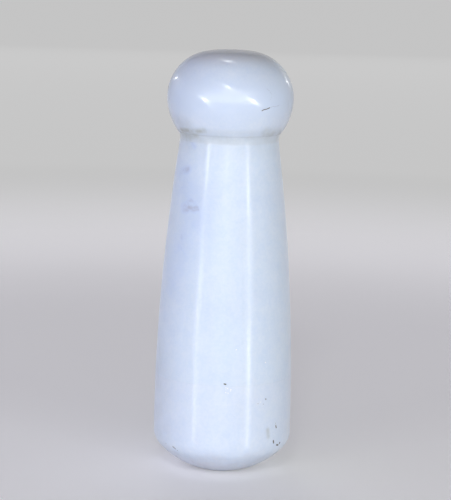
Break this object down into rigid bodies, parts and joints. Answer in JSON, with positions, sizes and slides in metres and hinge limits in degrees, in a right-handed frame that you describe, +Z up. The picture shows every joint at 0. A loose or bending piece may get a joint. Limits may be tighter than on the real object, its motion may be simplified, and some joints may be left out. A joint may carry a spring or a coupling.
{
  "type": "pestle",
  "caption": "White marble pestle with a rounded knob, a tapered handle and a wide domed grinding end with a small flat foot.",
  "frame": {"origin": "centre of the flat foot of the grinding end, where the pestle stands", "axes": "+Z up the axis of the turned form to the top of the knob; X and Y are free because the form is round"},
  "size_m": [0.0498, 0.0498, 0.152],
  "materials": {
    "knob_marble": "polished",
    "handle_marble": "polished",
    "head_marble": "polished, worn matt on the dome",
    "neck_resin": "satin",
    "head_resin": "satin",
    "dowel_steel": "ground"
  },
  "bodies": {
    "root": {"knob": "knob_marble", "handle_shaft": "handle_marble", "grinding_head": "head_marble", "neck_bond": "neck_resin", "head_bond": "head_resin", "neck_dowel": "dowel_steel", "head_dowel": "dowel_steel"}
  },
  "joints": []
}
